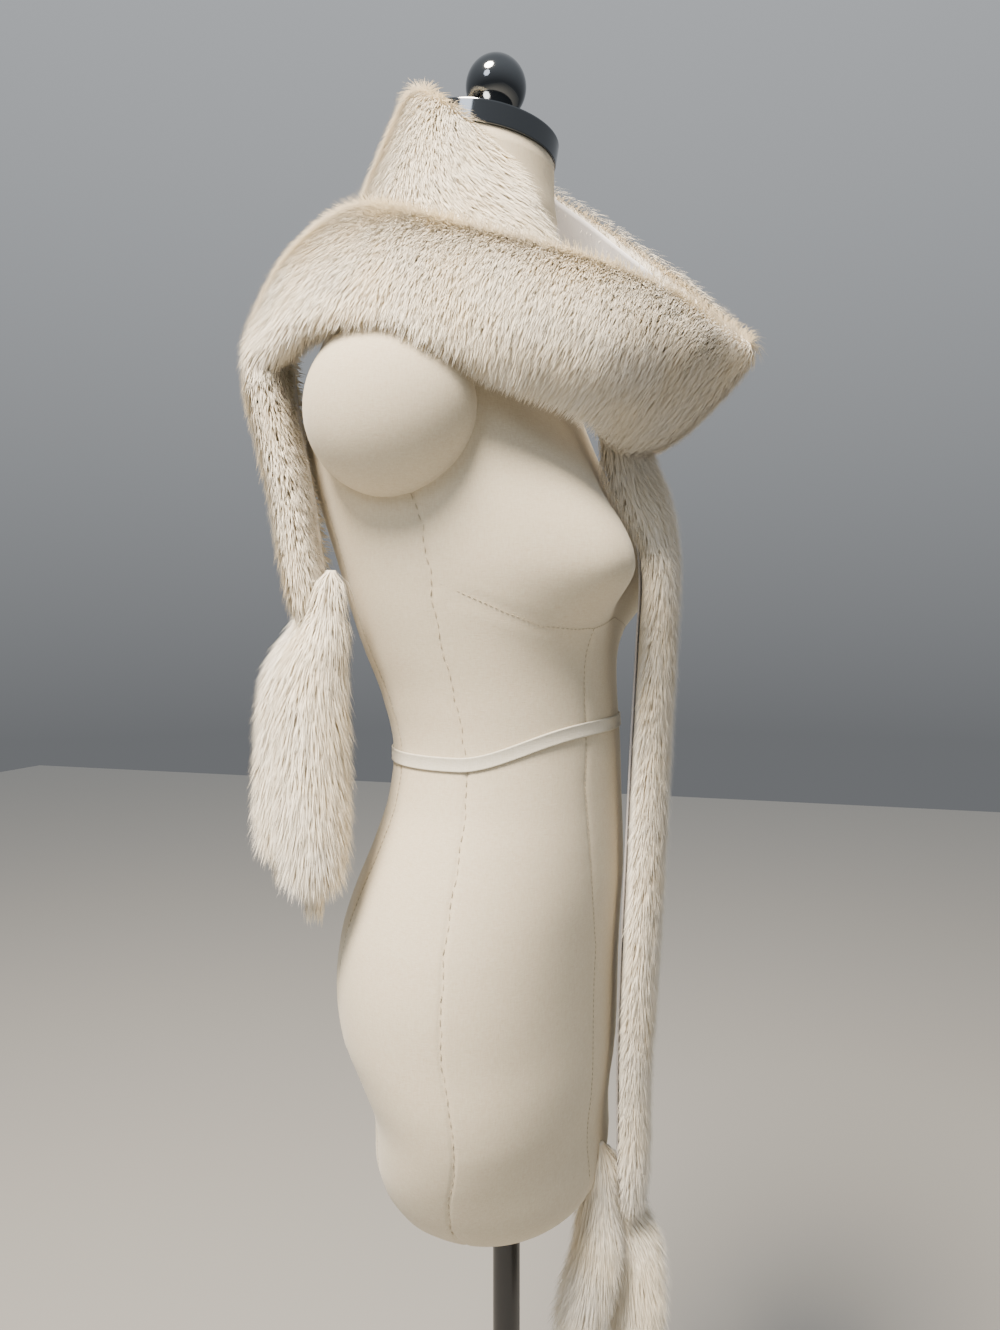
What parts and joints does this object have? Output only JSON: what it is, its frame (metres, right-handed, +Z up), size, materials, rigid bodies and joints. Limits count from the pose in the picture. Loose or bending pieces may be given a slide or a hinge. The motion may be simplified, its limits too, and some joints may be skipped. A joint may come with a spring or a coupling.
{
  "type": "fur collar wrap on a dress form",
  "caption": "Long pale fur wrap with tails at both ends, wound once round the neck of a limbless dress form on a pole stand.",
  "frame": {"origin": "on the floor under the pole, at the centre of the base plate's underside", "axes": "+Z up along the pole, -Y towards the front of the dress form, +X towards the form's own left side"},
  "size_m": [0.37, 0.3722, 1.5893],
  "materials": {
    "fur": "dense pale mink fur with soft sheen",
    "satin": "pale satin lining",
    "linen": "natural linen cover",
    "tape": "woven cotton tape",
    "chrome": "polished",
    "black_steel": "satin black enamel"
  },
  "bodies": {
    "root": {"form_torso": "linen", "shoulder_cap_right": "linen", "shoulder_cap_left": "linen", "waist_tape": "tape", "neck_plate": "chrome", "finial_stem": "chrome", "finial_ball": "chrome", "pole": "black_steel", "base_plate": "black_steel", "front_strip": "fur", "neck_wrap": "fur", "back_neck": "fur", "left_band": "fur", "cowl": "fur", "right_band": "fur", "back_strip": "fur", "lining_front_strip": "satin", "lining_left_band": "satin", "lining_cowl": "satin", "lining_back_strip": "satin", "tail_front_right": "fur", "tail_front_left": "fur", "tail_back_right": "fur", "tail_back_left": "fur"}
  },
  "joints": []
}
